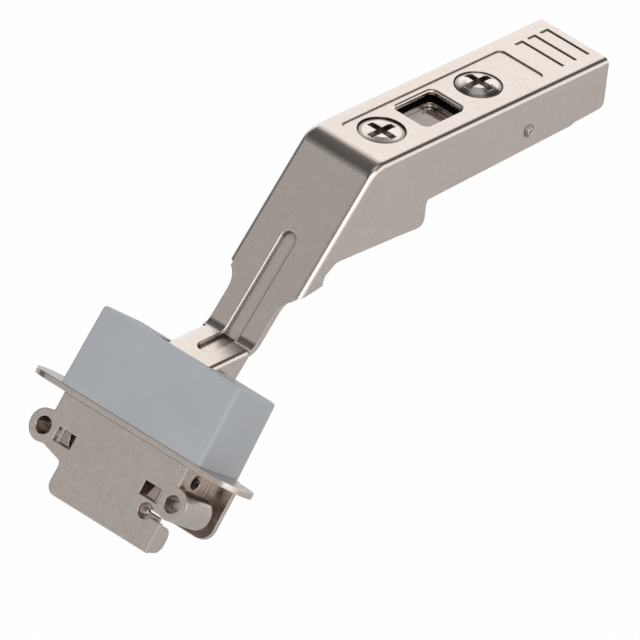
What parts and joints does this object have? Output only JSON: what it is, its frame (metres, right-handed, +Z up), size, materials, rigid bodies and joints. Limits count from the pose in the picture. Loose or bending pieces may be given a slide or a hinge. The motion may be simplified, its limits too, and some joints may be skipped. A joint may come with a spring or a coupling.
{
  "type": "concealed cup hinge",
  "caption": "Concealed cup hinge for narrow door frames: cranked sheet arm with adjusting screws, two-link joint, matte cover block and a bracket with two screw bosses.",
  "frame": {"origin": "on the seat of the mounting plate, under the web of the carrier, in the middle of the arm", "axes": "+X along the pivot pins, +Y along the arm away from the cup, +Z up through the arm's top"},
  "size_m": [0.0552, 0.1308, 0.063],
  "materials": {
    "nickel_sheet": "nickel plated, satin",
    "nickel_screw": "nickel plated, bright",
    "pin_steel": "ground",
    "cover_plastic": "matte",
    "spring_steel": "oiled"
  },
  "bodies": {
    "root": {"carrier": "nickel_sheet", "hook_pin": "pin_steel", "clip_lever_pin": "pin_steel", "clip_spring": "spring_steel"},
    "guide": {"guide_channel": "nickel_sheet", "pivot_rivets": "nickel_screw"},
    "arm": {"hinge_arm": "nickel_sheet", "arm_pin_outer": "pin_steel", "arm_pin_inner": "pin_steel"},
    "side_screw": {"side_adjusting_screw": "nickel_screw"},
    "depth_screw": {"depth_adjusting_screw": "nickel_screw"},
    "lever": {"clip_lever": "nickel_sheet"},
    "outer_link": {"outer_link_plates": "nickel_sheet"},
    "inner_link": {"inner_link": "nickel_sheet"},
    "cup": {"cup_pin_outer": "pin_steel", "cup_pin_inner": "pin_steel", "closing_springs": "spring_steel", "cup_shell": "nickel_sheet", "flange_plate": "nickel_sheet", "front_bracket": "nickel_sheet", "rear_bracket": "nickel_sheet", "cover_block": "cover_plastic"}
  },
  "joints": [
    {"name": "depth_slide", "type": "slide", "parent": "root", "child": "guide", "axis": [0, 1, 0], "range_m": [-0.0015, 0.0015]},
    {"name": "side_tilt", "type": "hinge", "parent": "guide", "child": "arm", "pos_m": [0, 0.0041, -0.0028], "axis": [1, 0, 0], "range_deg": [-1, 1]},
    {"name": "side_screw_turn", "type": "hinge", "parent": "arm", "child": "side_screw", "pos_m": [0, -0.0288, 0.0054], "axis": [0, 0, 1], "range_deg": [-258.9, 258.9]},
    {"name": "depth_screw_turn", "type": "hinge", "parent": "arm", "child": "depth_screw", "pos_m": [0, -0.0015, 0.0054], "axis": [0, 0, 1], "range_deg": [-45, 45]},
    {"name": "clip_release", "type": "hinge", "parent": "root", "child": "lever", "pos_m": [0, 0.0165, -0.0045], "axis": [-1, 0, 0], "range_deg": [0, 15], "stiffness_Nm_per_rad": 0.05, "springref_deg": -11.46},
    {"name": "fold", "type": "hinge", "parent": "arm", "child": "outer_link", "pos_m": [0, -0.0799, -0.03124], "axis": [1, 0, 0], "range_deg": [0, 45.72]},
    {"name": "cup_swing", "type": "hinge", "parent": "outer_link", "child": "cup", "pos_m": [0, -0.08745, -0.04602], "axis": [1, 0, 0], "range_deg": [0, 44.38]},
    {"name": "inner_link_swing", "type": "hinge", "parent": "arm", "child": "inner_link", "pos_m": [0, -0.07621, -0.03225], "axis": [1, 0, 0], "range_deg": [0, 44.38]}
  ],
  "couplings": [
    {"joint": "cup_swing", "follows": "fold", "ratio": 0.9685},
    {"joint": "inner_link_swing", "follows": "fold", "ratio": 0.9685},
    {"joint": "side_screw_turn", "follows": "side_tilt", "ratio": -258.4},
    {"joint": "depth_screw_turn", "follows": "depth_slide", "rad_per_m": -522.43}
  ]
}
